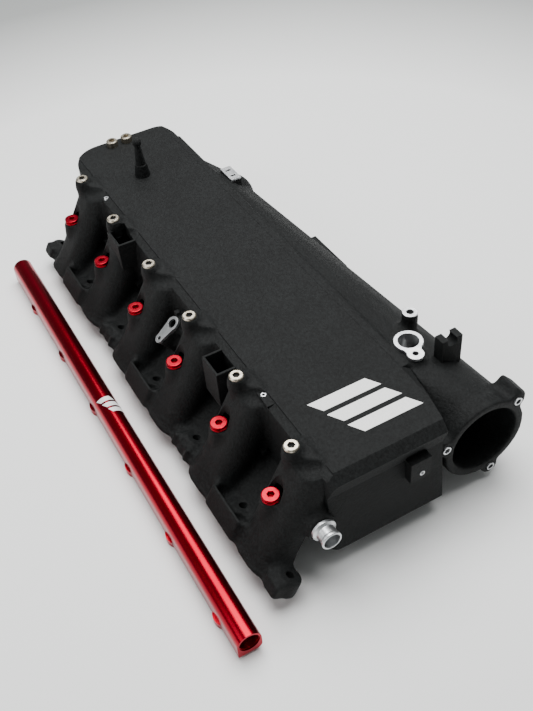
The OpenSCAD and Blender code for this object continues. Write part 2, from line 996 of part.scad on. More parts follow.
// Grooved stem, collar, neck and bead, in that order along +X
module hose_fitting() {
    stem_r = hose_root_r - CLEAR;
    seal_root_r = hose_root_r - hose_seal_d;
    neck_r = hose_r - hose_neck_in;
    tip = hose_x1 - hose_face_x;
    color("#d9dbdd") placed()
        translate([hose_face_x, hose_pos[0], hose_pos[1]])
            rotate([0, 90, 0])
                rotate_extrude()
                    polygon([[hose_bore_r - hose_land, -hose_stem_l], [stem_r, -hose_stem_l],
                        [stem_r, -hose_seal_x[1]], [seal_root_r, -hose_seal_x[1]],
                        [seal_root_r, -hose_seal_x[0]], [stem_r, -hose_seal_x[0]],
                        [stem_r, 0], [hose_r + hose_collar[0], 0],
                        [hose_r + hose_collar[0], hose_collar[1]],
                        [neck_r, hose_collar[2]], [neck_r, tip - hose_bead[0]],
                        [hose_r, tip - hose_bead[1]], [hose_r, tip - hose_bead[2]],
                        [hose_r - hose_bead[2], tip], [hose_bore_r, tip],
                        [hose_bore_r, hose_land], [hose_bore_r - hose_land, hose_land / 2]]);
}

module hose_fitting_oring() {
    color("#101111") placed()
        translate([hose_face_x - (hose_seal_x[0] + hose_seal_x[1]) / 2, hose_pos[0],
            hose_pos[1]])
            rotate([0, 90, 0])
                ring_seal(hose_root_r - hose_seal_r, hose_seal_r);
}

module edge_inserts() {
    color("#c9ccce") placed()
        edge_insert_places() small_insert();
}

module front_insert() {
    color("#c9ccce") placed()
        front_insert_place() small_insert();
}

// ---------- marks ----------

// Three upright bars, each a step further along, with slanted ends
module slanted_bars(bar_l, bar_w, gap, slant) {
    for (i = [0:2])
        translate([i * (bar_w + gap), i * slant / 2])
            polygon([[0, 0], [bar_w, slant / 2], [bar_w, bar_l + slant / 2], [0, bar_l]]);
}

module plenum_emblem() {
    color("#dcdedd") placed()
        translate([emblem_pos[0], emblem_pos[1], top_z])
            linear_extrude(emblem_t)
                slanted_bars(emblem_bar[0], emblem_bar[1], emblem_bar[2], emblem_bar[3]);
}

// ---------- fuel rail ----------

module rail_section() {
    circle(r = rail_r);
    translate([-rail_r, -rail_flat]) square([2 * rail_r - rail_corner_r, rail_flat]);
    translate([rail_r - rail_corner_r, -rail_flat + rail_corner_r])
        square([rail_corner_r, rail_flat - rail_corner_r]);
    translate([rail_r - rail_corner_r, -rail_flat + rail_corner_r])
        circle(r = rail_corner_r);
}

module fuel_rail() {
    color("#b5172a") placed()
        difference() {
            union() {
                translate([rail_x0, rail_y, rail_z])
                    rotate([90, 0, 90])
                        linear_extrude(rail_l) rail_section();
                for (k = PORTS)
                    translate([cup_dx + k * cyl_pitch, rail_y, 0])
                        cylinder(r = cup_r, h = 2 * cup_h);
            }
            along_x(rail_x0 - CUT, rail_x1 + CUT, rail_y, rail_z, rail_bore_r);
            along_x(rail_x0 - CUT, rail_x0 + rail_port_l, rail_y, rail_z, rail_port_r);
            along_x(rail_x1 - rail_port_l, rail_x1 + CUT, rail_y, rail_z, rail_port_r);
            for (k = PORTS)
                translate([cup_dx + k * cyl_pitch, rail_y, -CUT])
                    cylinder(r = cup_bore_r, h = cup_depth + CUT);
        }
}

module rail_emblem() {
    color("#e4e5e4") placed()
        intersection() {
            difference() {
                along_x(rail_mark_x, rail_mark_x + rail_mark_l, rail_y, rail_z,
                    rail_r + rail_mark_t);
                along_x(rail_mark_x - CUT, rail_mark_x + rail_mark_l + CUT, rail_y, rail_z,
                    rail_r);
            }
            translate([rail_mark_x + rail_mark_in[0], rail_y - rail_mark_in[1], rail_z])
                linear_extrude(2 * rail_r)
                    slanted_bars(rail_mark_bar[0], rail_mark_bar[1], rail_mark_bar[2],
                        rail_mark_bar[3]);
        }
}

plenum_shell();
plenum_cover();
port_foot(0);  // port_foot_1
port_foot(1);  // port_foot_2
port_foot(2);  // port_foot_3
port_foot(3);  // port_foot_4
port_foot(4);  // port_foot_5
port_foot(5);  // port_foot_6
stud_lug(0);  // stud_lug_1
stud_lug(1);  // stud_lug_2
stud_lug(2);  // stud_lug_3
stud_lug(3);  // stud_lug_4
stud_lug(4);  // stud_lug_5
stud_lug(5);  // stud_lug_6
stud_lug(6);  // stud_lug_7
runner(0);  // runner_1
runner(1);  // runner_2
runner(2);  // runner_3
runner(3);  // runner_4
runner(4);  // runner_5
runner(5);  // runner_6
port_gasket(0);  // port_gasket_1
port_gasket(1);  // port_gasket_2
port_gasket(2);  // port_gasket_3
port_gasket(3);  // port_gasket_4
port_gasket(4);  // port_gasket_5
port_gasket(5);  // port_gasket_6
injector_plug(0);  // injector_plug_1
injector_plug(1);  // injector_plug_2
injector_plug(2);  // injector_plug_3
injector_plug(3);  // injector_plug_4
injector_plug(4);  // injector_plug_5
injector_plug(5);  // injector_plug_6
injector_plug_orings();
runner_pipe_plugs();
end_pipe_plugs();
throttle_duct();
throttle_flange();
throttle_inserts();
duct_bracket();
rail_bracket(0);  // rail_bracket_rear
rail_bracket(1);  // rail_bracket_front
engine_cover_post();
sensor_boss();
sensor_port_ring();
cover_boss();
cover_boss_insert();
clip_post();
plate_block();
slotted_plate();
adapter_boss();
vacuum_adapter();
hose_fitting();
hose_fitting_oring();
edge_inserts();
front_insert();
plenum_emblem();
fuel_rail();
rail_emblem();
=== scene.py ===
"""Looks of a printed intake manifold for a straight-six engine, with its loose red fuel rail."""
import math

import bpy
from bpy.props import FloatProperty, FloatVectorProperty, IntProperty, PointerProperty
from mathutils import Matrix, Vector


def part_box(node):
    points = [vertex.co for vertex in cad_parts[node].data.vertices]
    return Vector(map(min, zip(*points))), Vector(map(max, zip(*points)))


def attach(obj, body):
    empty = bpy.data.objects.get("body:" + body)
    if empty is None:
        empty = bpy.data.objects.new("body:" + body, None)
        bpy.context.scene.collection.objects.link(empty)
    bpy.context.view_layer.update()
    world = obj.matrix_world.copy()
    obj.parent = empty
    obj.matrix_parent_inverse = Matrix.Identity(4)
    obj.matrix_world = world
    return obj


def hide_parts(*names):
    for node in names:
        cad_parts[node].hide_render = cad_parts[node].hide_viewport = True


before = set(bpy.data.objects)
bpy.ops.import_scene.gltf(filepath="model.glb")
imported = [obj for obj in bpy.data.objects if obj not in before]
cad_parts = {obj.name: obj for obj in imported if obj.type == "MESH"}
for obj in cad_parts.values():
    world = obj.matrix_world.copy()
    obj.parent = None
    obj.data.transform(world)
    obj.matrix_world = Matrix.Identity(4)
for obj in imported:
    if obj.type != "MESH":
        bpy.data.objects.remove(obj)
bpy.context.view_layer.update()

bl_info = {
    "name": "Intake Manifold Looks",
    "version": (1, 0, 0),
    "blender": (4, 5, 0),
    "location": "View3D > Sidebar > Manifold",
    "description": "Models and finishes a printed intake manifold and its fuel rail",
    "category": "Object",
}

MM = 0.001
CYLINDERS = range(6)
MANIFOLD = "manifold"
RAIL = "fuel_rail"


# ---------- places taken from the frame ----------

def corners(node):
    low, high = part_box(node)
    return Vector(low) / MM, Vector(high) / MM


PLUG_LOW, PLUG_HIGH = corners("runner_pipe_plugs")
PLUG_HEAD_R = 6.5
# How much of a plug's head stands out of its printed boss.
PLUG_SHOW = 2.2
DATUM = Vector((PLUG_LOW.x + PLUG_HEAD_R, (PLUG_LOW.y + PLUG_HIGH.y) / 2, 0))
PITCH = (PLUG_HIGH.x - PLUG_LOW.x - 2 * PLUG_HEAD_R) / 5
FLANGE_TILT = math.radians(30)
FLANGE_EDGE = Vector((0, -58.3, 21))
PORT_V = 22
PORT_DX = 8.5


def at(x, y, z):
    """A place given in millimetres from the axis of the first pipe plug and the resting plane."""
    return (DATUM + Vector((x, y, z))) * MM


def flange_matrix():
    """X along the engine, Y down the flange's face, Z out along the runners."""
    return Matrix.Translation(at(*FLANGE_EDGE)) @ Matrix.Rotation(-FLANGE_TILT, 4, "X")


# ---------- modelling helpers ----------

def activate(piece):
    bpy.ops.object.select_all(action="DESELECT")
    piece.select_set(True)
    bpy.context.view_layer.objects.active = piece


def settle(piece, matrix=None):
    """Puts the piece where the matrix says, and keeps its place in its mesh."""
    if matrix is not None:
        bpy.context.view_layer.update()
        piece.matrix_world = matrix @ piece.matrix_world
    activate(piece)
    bpy.ops.object.transform_apply(location=True, rotation=True, scale=True)
    return piece


def modify(piece, kind, **settings):
    activate(piece)
    modifier = piece.modifiers.new(kind.lower(), kind)
    for name, value in settings.items():
        setattr(modifier, name, value)
    bpy.ops.object.modifier_apply(modifier=modifier.name)


def join(pieces):
    activate(pieces[0])
    if len(pieces) == 1:
        return pieces[0]
    for piece in pieces[1:]:
        piece.select_set(True)
    bpy.ops.object.join()
    return bpy.context.view_layer.objects.active


def block(low, high):
    """A box between two corners, in millimetres from the datum."""
    a = at(*low)
    b = at(*high)
    bpy.ops.object.select_all(action="DESELECT")
    bpy.ops.mesh.primitive_cube_add(size=1, location=(a + b) / 2)
    piece = bpy.context.object
    piece.scale = b - a
    return settle(piece)


def rod(start, end, r1, r2=None, sides=48):
    """A round bar or cone from start to end, in millimetres from the datum."""
    a = at(*start)
    b = at(*end)
    turn = (b - a).to_track_quat("Z", "Y").to_euler()
    bpy.ops.object.select_all(action="DESELECT")
    bpy.ops.mesh.primitive_cone_add(vertices=sides, radius1=r1 * MM,
        radius2=(r1 if r2 is None else r2) * MM, depth=(b - a).length,
        location=(a + b) / 2, rotation=turn)
    return settle(bpy.context.object)


def flange_rod(x, v, w0, w1, r):
    bpy.ops.object.select_all(action="DESELECT")
    bpy.ops.mesh.primitive_cylinder_add(vertices=40, radius=r * MM, depth=(w1 - w0) * MM,
        location=(x * MM, v * MM, (w0 + w1) / 2 * MM))
    return settle(bpy.context.object, flange_matrix())


def flange_block(low, high):
    a = Vector(low) * MM
    b = Vector(high) * MM
    bpy.ops.object.select_all(action="DESELECT")
    bpy.ops.mesh.primitive_cube_add(size=1, location=(a + b) / 2)
    piece = bpy.context.object
    piece.scale = b - a
    return settle(piece, flange_matrix())


def widen(piece, half):
    """Parts the two halves of an upright round bar, which makes its section a stadium."""
    for side in (-1, 1):
        pick_vertices(piece, lambda co: co.x * side > 0)
        bpy.ops.transform.translate(value=(side * half * MM, 0, 0))
        bpy.ops.object.mode_set(mode="OBJECT")


def pick_vertices(piece, wanted):
    activate(piece)
    bpy.ops.object.mode_set(mode="EDIT")
    bpy.ops.mesh.select_mode(type="VERT")
    bpy.ops.mesh.select_all(action="DESELECT")
    bpy.ops.object.mode_set(mode="OBJECT")
    for vertex in piece.data.vertices:
        vertex.select = wanted(vertex.co)
    bpy.ops.object.mode_set(mode="EDIT")


def stadium_bar(width, height, length):
    """An upright bar of stadium section, standing on its own origin."""
    bpy.ops.object.select_all(action="DESELECT")
    bpy.ops.mesh.primitive_cylinder_add(vertices=50, radius=height / 2 * MM,
        depth=length * MM, location=(0, 0, length / 2 * MM), rotation=(0, 0, math.pi / 50))
    piece = settle(bpy.context.object)
    widen(piece, (width - height) / 2)
    return piece


def bisect(piece, point, normal, fill=True):
    """Cuts off what lies beyond the plane, on the side of its normal."""
    activate(piece)
    bpy.ops.object.mode_set(mode="EDIT")
    bpy.ops.mesh.select_all(action="SELECT")
    bpy.ops.mesh.bisect(plane_co=point, plane_no=normal, use_fill=fill, clear_outer=True)
    bpy.ops.object.mode_set(mode="OBJECT")


def carve(piece, cutters):
    """Cuts all the cutters away in one pass."""
    cutter = join(cutters)
    modify(piece, "BOOLEAN", object=cutter, operation="DIFFERENCE", solver="MANIFOLD")
    bpy.data.objects.remove(cutter)


def node_copy(*nodes):
    """Copies CAD nodes into one mesh and merges their loose triangles."""
    copies = []
    for node in nodes:
        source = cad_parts[node]
        piece = source.copy()
        piece.data = source.data.copy()
        piece.data.materials.clear()
        bpy.context.scene.collection.objects.link(piece)
        copies.append(piece)
    piece = join(copies)
    bpy.ops.object.mode_set(mode="EDIT")
    bpy.ops.mesh.select_all(action="SELECT")
    bpy.ops.mesh.remove_doubles(threshold=0.00001)
    bpy.ops.object.mode_set(mode="OBJECT")
    return piece


def grown_together(piece, voxel, fillet, soften, triangles):
    """Fuses touching solids and rounds the hollows between them, as a printed part has."""
    modify(piece, "REMESH", mode="VOXEL", voxel_size=voxel)
    modify(piece, "DISPLACE", strength=fillet, mid_level=0)
    modify(piece, "REMESH", mode="VOXEL", voxel_size=voxel)
    modify(piece, "SMOOTH", factor=0.5, iterations=2)
    modify(piece, "DISPLACE", strength=-fillet, mid_level=0)
    modify(piece, "REMESH", mode="VOXEL", voxel_size=voxel)
    modify(piece, "SMOOTH", factor=0.5, iterations=soften)
    faces = sum(len(face.vertices) - 2 for face in piece.data.polygons)
    if faces > triangles:
        modify(piece, "DECIMATE", ratio=triangles / faces)


# Facets that differ by less than this are one face of a CAD copy.
FLAT_ANGLE = math.radians(0.6)


def eased_copy(node, edge, segments=2, angle=32):
    """A copy of a CAD node with its sharp edges rounded."""
    piece = node_copy(node)
    bpy.ops.object.mode_set(mode="EDIT")
    bpy.ops.mesh.select_all(action="SELECT")
    bpy.ops.mesh.dissolve_limited(angle_limit=FLAT_ANGLE)
    bpy.ops.object.mode_set(mode="OBJECT")
    modify(piece, "BEVEL", width=edge * MM, segments=segments, limit_method="ANGLE",
        angle_limit=math.radians(angle), harden_normals=False)
    return piece


def finish(piece, name, body, slot, material, *nodes, smooth=40, weighted=False):
    """Names the piece, gives it its finish and body, and puts it in the place of CAD nodes."""
    piece.name = name
    piece.data.name = name
    piece.data.materials.clear()
    piece.data.materials.append(material)
    activate(piece)
    bpy.ops.object.shade_smooth_by_angle(angle=math.radians(smooth))
    if weighted:
        modify(piece, "WEIGHTED_NORMAL", keep_sharp=True, weight=80)
    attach(piece, body)
    if nodes:
        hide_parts(*nodes)
    return piece


# ---------- materials ----------

def linear(hex_colour):
    """An sRGB hex colour as linear red, green, blue and alpha."""
    values = [int(hex_colour[i:i + 2], 16) / 255 for i in (1, 3, 5)]
    return [v / 12.92 if v <= 0.04045 else ((v + 0.055) / 1.055) ** 2.4 for v in values] + [1.0]


def add_node(tree, kind, settings=None, **links):
    """Adds a node, sets its properties and sockets, and links its inputs."""
    node = tree.nodes.new(kind)
    for name, value in (settings or {}).items():
        if isinstance(name, int) or name in node.inputs:
            node.inputs[name].default_value = value
        else:
            setattr(node, name, value)
    for name, source in links.items():
        tree.links.new(source, node.inputs[name.replace("_", " ")])
    return node


def new_material(name, **surface):
    """A material with one Principled shader, whose even values are set on its own sockets."""
    material = bpy.data.materials.new(name)
    material.use_nodes = True
    tree = material.node_tree
    shader = tree.nodes["Principled BSDF"]
    for socket, value in surface.items():
        shader.inputs[socket.replace("_", " ")].default_value = value
    place = add_node(tree, "ShaderNodeTexCoord").outputs["Object"]
    return material, tree, shader, place


def grain(tree, place, size_mm, detail=2.0, roughness=0.5):
    """Noise whose blotches are about as wide as the given size."""
    return add_node(tree, "ShaderNodeTexNoise",
        {"Scale": 1 / (size_mm * MM), "Detail": detail, "Roughness": roughness},
        Vector=place).outputs["Fac"]


def ramp(tree, factor, low, high, dark, light):
    """Turns a factor between low and high into a colour between dark and light."""
    node = add_node(tree, "ShaderNodeValToRGB", Fac=factor)
    node.color_ramp.elements[0].position = low
    node.color_ramp.elements[0].color = dark
    node.color_ramp.elements[1].position = high
    node.color_ramp.elements[1].color = light
    return node.outputs["Color"]


def spread(tree, factor, low, high):
    return add_node(tree, "ShaderNodeMapRange", {"To Min": low, "To Max": high},
        Value=factor).outputs["Result"]


def bump(tree, height, depth_mm, strength=1.0):
    return add_node(tree, "ShaderNodeBump", {"Strength": strength, "Distance": depth_mm * MM},
        Height=height).outputs["Normal"]


def sintered_nylon(colour):
    """Polyamide fused from black powder: dead matt, with a sandy grain.
    Powder grains are about 0.1 mm and are drawn some twenty times as coarse, so they show."""
    material, tree, shader, place = new_material("sintered nylon", Roughness=0.66, IOR=1.5,
        Specular_IOR_Level=0.2)
    sand = grain(tree, place, 2.2, 4.0, 0.75)
    blotch = grain(tree, place, 60, 2.0)
    both = add_node(tree, "ShaderNodeMath", {"operation": "MULTIPLY_ADD", 1: 0.12},
        Value=blotch)
    tree.links.new(sand, both.inputs[2])
    dark = linear(colour[0])
    light = linear(colour[1])
    tree.links.new(ramp(tree, both.outputs[0], 0.47, 0.68, dark, light),
        shader.inputs["Base Color"])
    tree.links.new(spread(tree, sand, 0.5, 0.8), shader.inputs["Roughness"])
    tree.links.new(bump(tree, sand, 1.0), shader.inputs["Normal"])
    return material


def anodised_rail(colour):
    """Extruded aluminium, dyed red: clear satin with fine draw lines along its length."""
    material, tree, shader, place = new_material("red anodised extrusion", Metallic=1.0,
        Roughness=0.24)
    stretched = add_node(tree, "ShaderNodeMapping", {"Scale": (0.006, 1.0, 1.0)}, Vector=place)
    lines = grain(tree, stretched.outputs["Vector"], 0.5, 3.0)
    cloud = grain(tree, place, 60, 2.0)
    tree.links.new(ramp(tree, cloud, 0.3, 0.7, linear(colour[0]), linear(colour[1])),
        shader.inputs["Base Color"])
    tree.links.new(spread(tree, lines, 0.17, 0.30), shader.inputs["Roughness"])
    tree.links.new(bump(tree, lines, 0.012), shader.inputs["Normal"])
    return material


def anodised_turning(colour):
    """Turned aluminium, dyed red: satin, with a slightly uneven dye."""
    material, tree, shader, place = new_material("red anodised turning", Metallic=1.0,
        Roughness=0.3)
    cloud = grain(tree, place, 4, 3.0)
    tree.links.new(ramp(tree, cloud, 0.3, 0.75, linear(colour[0]), linear(colour[1])),
        shader.inputs["Base Color"])
    tree.links.new(spread(tree, cloud, 0.24, 0.4), shader.inputs["Roughness"])
    tree.links.new(bump(tree, grain(tree, place, 0.4), 0.01), shader.inputs["Normal"])
    return material


def machined_aluminium(colour):
    """Bare machined aluminium: bright, with fine tool marks and a soft patchy sheen."""
    material, tree, shader, place = new_material("machined aluminium", Metallic=1.0,
        Roughness=0.28)
    marks = grain(tree, add_node(tree, "ShaderNodeMapping", {"Scale": (1.0, 1.0, 0.15)},
        Vector=place).outputs["Vector"], 0.45, 3.0)
    cloud = grain(tree, place, 6, 2.0)
    tree.links.new(ramp(tree, cloud, 0.3, 0.7, linear(colour[0]), linear(colour[1])),
        shader.inputs["Base Color"])
    tree.links.new(spread(tree, marks, 0.3, 0.48), shader.inputs["Roughness"])
    tree.links.new(bump(tree, marks, 0.015), shader.inputs["Normal"])
    return material


def nickel_plate(colour):
    """Nickel-plated brass plugs: warm satin metal that is darker in its blotches."""
    material, tree, shader, place = new_material("nickel plate", Metallic=1.0, Roughness=0.32)
    cloud = grain(tree, place, 3, 3.0)
    tree.links.new(ramp(tree, cloud, 0.3, 0.72, linear(colour[0]), linear(colour[1])),
        shader.inputs["Base Color"])
    tree.links.new(spread(tree, cloud, 0.26, 0.42), shader.inputs["Roughness"])
    tree.links.new(bump(tree, grain(tree, place, 0.5), 0.012), shader.inputs["Normal"])
    return material


def silver_paint(colour):
    """Silver-white printed paint: thin, even and slightly grainy over the nylon."""
    material, tree, shader, place = new_material("silver paint", Metallic=0.15,
        Roughness=0.5)
    sand = grain(tree, place, 1.1, 3.0, 0.65)
    tree.links.new(ramp(tree, sand, 0.3, 0.7, linear(colour[0]), linear(colour[1])),
        shader.inputs["Base Color"])
    tree.links.new(spread(tree, sand, 0.42, 0.6), shader.inputs["Roughness"])
    tree.links.new(bump(tree, sand, 0.08), shader.inputs["Normal"])
    return material


def moulded_rubber(colour):
    """Black nitrile rubber: smooth, soft sheen and a dusty bloom."""
    material, tree, shader, place = new_material("nitrile rubber", Roughness=0.5)
    cloud = grain(tree, place, 2.5, 3.0)
    tree.links.new(ramp(tree, cloud, 0.3, 0.8, linear(colour[0]), linear(colour[1])),
        shader.inputs["Base Color"])
    tree.links.new(spread(tree, cloud, 0.42, 0.6), shader.inputs["Roughness"])
    tree.links.new(bump(tree, cloud, 0.01), shader.inputs["Normal"])
    return material


def studio_board(colour):
    """Pale studio board: matt, slightly uneven, with painted shade that makes it darker far from
    the part, where the lamps' light falls off.
    """
    material, tree, shader, place = new_material("studio board", Roughness=0.7)
    cloud = grain(tree, place, 300, 2.0)
    # Painted shade: the colour darkens between 0.62 m and 1 m from the origin, standing in for
    # the lamps' light falling off across the floor.
    away = add_node(tree, "ShaderNodeVectorMath", {"operation": "LENGTH"}, Vector=place)
    tree.links.new(ramp(tree, away.outputs["Value"], 0.62, 1.0, linear(colour[0]),
        linear(colour[1])),
        shader.inputs["Base Color"])
    tree.links.new(spread(tree, cloud, 0.6, 0.75), shader.inputs["Roughness"])
    return material


FINISHES = {
    "nylon": sintered_nylon(("#030404", "#191b1b")),
    "rail": anodised_rail(("#8c001c", "#a20824")),
    "red_turning": anodised_turning(("#8c0a1e", "#ae1029")),
    "aluminium": machined_aluminium(("#c4c6c8", "#e4e5e6")),
    "nickel": nickel_plate(("#9d9483", "#d2cbbc")),
    "silver": silver_paint(("#d2d3d1", "#e6e6e4")),
    "rubber": moulded_rubber(("#0c0d0d", "#151616")),
    # The board's second colour is painted shade, reached far from the part.
    "board": studio_board(("#edeeed", "#a3a5a4")),
}


# ---------- sizes that a user would change ----------

class PrintSizes(bpy.types.PropertyGroup):
    voxel: FloatProperty(name="Voxel", description="Grid size that the printed body is fused on",
        default=1.3 * MM, unit="LENGTH")
    fillet: FloatProperty(name="Fillet", description="Radius in the hollows of the printed body",
        default=4.5 * MM, unit="LENGTH")
    duct_fillet: FloatProperty(name="Duct fillet",
        description="Radius in the hollows of the throttle duct", default=3.2 * MM,
        unit="LENGTH")
    box_edge: FloatProperty(name="Box edge", description="Rounding of the plenum's edges",
        default=1.6 * MM, unit="LENGTH")
    triangles: IntProperty(name="Triangles", description="Most triangles in a fused piece",
        default=180000, min=20000, max=199000)
    runner_width: FloatProperty(name="Runner width", description="Width of a runner",
        default=50 * MM, unit="LENGTH")
    runner_height: FloatProperty(name="Runner height",
        description="Height of a runner across its flow", default=33 * MM, unit="LENGTH")


class FittingSizes(bpy.types.PropertyGroup):
    metal_edge: FloatProperty(name="Metal edge",
        description="Rounding of the edges of metal fittings", default=0.35 * MM,
        unit="LENGTH")
    thread_pitch: FloatProperty(name="Thread pitch",
        description="Pitch of the threads in the rail's ends", default=1.5 * MM,
        unit="LENGTH")


class StudioSizes(bpy.types.PropertyGroup):
    azimuth: FloatProperty(name="Azimuth", description="Turn of the camera around the object",
        default=math.radians(64.74), subtype="ANGLE")
    elevation: FloatProperty(name="Elevation", description="Height of the camera as an angle",
        default=math.radians(43.64), subtype="ANGLE")
    roll: FloatProperty(name="Roll", description="Tilt of the camera about its own view",
        default=math.radians(-5.68), subtype="ANGLE")
    camera_place: FloatVectorProperty(name="Camera place", description="Where the camera is",
        default=(0.63516, -0.26179, 0.6553), subtype="TRANSLATION")
    lens: FloatProperty(name="Lens", description="Focal length of the camera in millimetres",
        default=46.16)
    softbox_power: FloatProperty(name="Softbox power", description="Power of the lamp overhead",
        default=58.0, subtype="POWER")


# ---------- printed body ----------

# Helper solids stop this far under the plenum's skin, so that only fillets come out of it.
SKIN = 0.15
# Smoothing passes that take the grid's steps off a fused piece.
SOFTEN = 3
# Cutters reach this far past the faces that they open.
CUT = 1.0

# Runners: width and height of the section, and how far up from the flange's face.
RUNNER_ROOT = 12.0
RUNNER_LENGTH = 118.0
RIM = (54.0, 38.0)
FOOT = (58.0, 42.0)
FOOT_T = 5.0
FLARE = ((0.0, FOOT), (FOOT_T, FOOT), (FOOT_T + 0.4, RIM), (RUNNER_ROOT - 2, RIM),
    (RUNNER_ROOT + 3, (52.5, 35.5)), (RUNNER_ROOT + 12, (50.6, 33.6)))
BORE = (43.0, 26.0)
BORE_LENGTH = 74.0
NOTCH_V = -0.4
NOTCH_R = 1.8

# Stud lugs, their webs and the ribs beside them, in the flange's own directions.
STUD_X = (-32, 54.5, 145.5, 236.5, 327.5, 418.5, 499)
STUD_R = 3.75
STUD_LENGTH = 29
LUG_V = 20
LUG_R = 11
LUG_T = 17
LUG_SKIRT_R = 14
LUG_SKIRT_T = 11
END_LUG_HALF = 9
END_LUG_V = 4
END_ARM_LENGTH = 16
END_ARM_V = (14, 26)
END_ARM_T = 12
LUG_DROP = 4
PLATE_V = (8, 34)
WEB_TOP = 22
WEB_T = 3
WEB_IN = 4
RIB_V = (6, 9)
SIDE_RIB_X = 12
SIDE_RIB_HALF = 1.5
HALF_RUNNER = 25

# Leaning wall behind the valley between two runners.
VALLEY_INSET = 22
VALLEY_Y = (-34, -30)
VALLEY_Z = (22, 26)
VALLEY_LEAN = (44, 20)

# Injector ports, hose socket, clamp pocket and adapter on the runners.
INJECTOR = Vector((1.8, -22.6, 72.6))
INJECTOR_BOSS_LENGTH = 34
INJECTOR_BOSS_R = (13, 9.25)
INJECTOR_BORE_R = 7.1
INJECTOR_BORE_LENGTH = 20
SCOOP_R = (10.2, 12.5)
SCOOP_LENGTH = 40
HOSE_AXIS = (0.7, 61)
HOSE_BOSS_X = (470, 497)
HOSE_BOSS_R = 13
HOSE_SOCKET_X = (483, 500)
HOSE_SOCKET_R = 7.6
REAR_POCKET = ((98.6, -8.4, 100.5), (123.4, 8.4, 125))
ADAPTER_TOP = Vector((240, -5, 87))
ADAPTER_TILT = math.radians(36)
ADAPTER_BORE_R = 4.6
ADAPTER_BORE_LENGTH = 16

# Sloping strip above the runners, the side wall under it and the pipe plugs' bosses on it.
STRIP_EDGE = Vector((0, 8.5, 107.5))
CREASE = Vector((0, 16, 110))
SIDE_X = (-34, 487)
SIDE_Y = 14
SIDE_Z = 22
BOSS_R = 8.4
BOSS_Z = (80, 114)
COLLAR_R = (9.2, 7.9)
PAD_Y = 15.6
PAD_Z = 108
PAD_REACH = 13.6


def port_x(k):
    return k * PITCH + PORT_DX


BANK_NODES = [f"{kind}_{k + 1}" for k in CYLINDERS for kind in ("runner", "port_foot")]
BANK_NODES += [f"stud_lug_{i + 1}" for i in range(len(STUD_X))]


def port_matrix(k):
    """The flange's directions, from the middle of one port."""
    return flange_matrix() @ Matrix.Translation((port_x(k) * MM, PORT_V * MM, 0))


def runner_blank(k, width, height):
    """One runner as a stadium bar that flares to the rim and the foot of its port."""
    bars = [stadium_bar(width, height, RUNNER_LENGTH)]
    for (z0, size0), (z1, size1) in zip(FLARE, FLARE[1:]):
        part = stadium_bar(size0[0], size0[1], z1 - z0)
        pick_vertices(part, lambda co, top=z1 - z0: co.z > top * MM / 2)
        bpy.ops.transform.resize(value=(size1[0] / size0[0], size1[1] / size0[1], 1),
            center_override=(0, 0, 0))
        bpy.ops.object.mode_set(mode="OBJECT")
        bars.append(settle(part, Matrix.Translation((0, 0, z0 * MM))))
    return [settle(part, port_matrix(k)) for part in bars]


def cut_blanks(blanks):
    """Trims runners to the sloping strip above them, so that they run into it."""
    along = (STRIP_EDGE - CREASE).normalized()
    normal = Vector((0, along.z, -along.y))
    for blank in blanks:
        bisect(blank, at(*STRIP_EDGE), normal if normal.z > 0 else -normal)
    return blanks


def plug_boss(k):
    """Round boss of a pipe plug, with its flat pad that reaches to the crease."""
    x = k * PITCH
    root, top = BOSS_Z
    pad = block((x - BOSS_R, 0, PAD_Z), (x + BOSS_R, PAD_Y, top))
    pick_vertices(pad, lambda co: co.x > at(x, 0, 0).x and co.y > at(0, PAD_Y / 2, 0).y)
    bpy.ops.transform.translate(value=(PAD_REACH * MM, 0, 0))
    bpy.ops.object.mode_set(mode="OBJECT")
    collar = rod((x, 0, PAD_Z), (x, 0, PLUG_HIGH.z - PLUG_SHOW), *COLLAR_R)
    return [rod((x, 0, root), (x, 0, top), BOSS_R), collar, pad]


def valley_wall(k):
    """Wall behind the valley of two runners, which leans from the flange to the plenum."""
    x0 = port_x(k) + VALLEY_INSET
    x1 = port_x(k + 1) - VALLEY_INSET
    wall = block((x0, VALLEY_Y[0], VALLEY_Z[0]), (x1, VALLEY_Y[1], VALLEY_Z[1]))
    pick_vertices(wall, lambda co: co.z > at(0, 0, sum(VALLEY_Z) / 2).z)
    bpy.ops.transform.translate(value=(0, VALLEY_LEAN[0] * MM, VALLEY_LEAN[1] * MM))
    bpy.ops.object.mode_set(mode="OBJECT")
    return wall


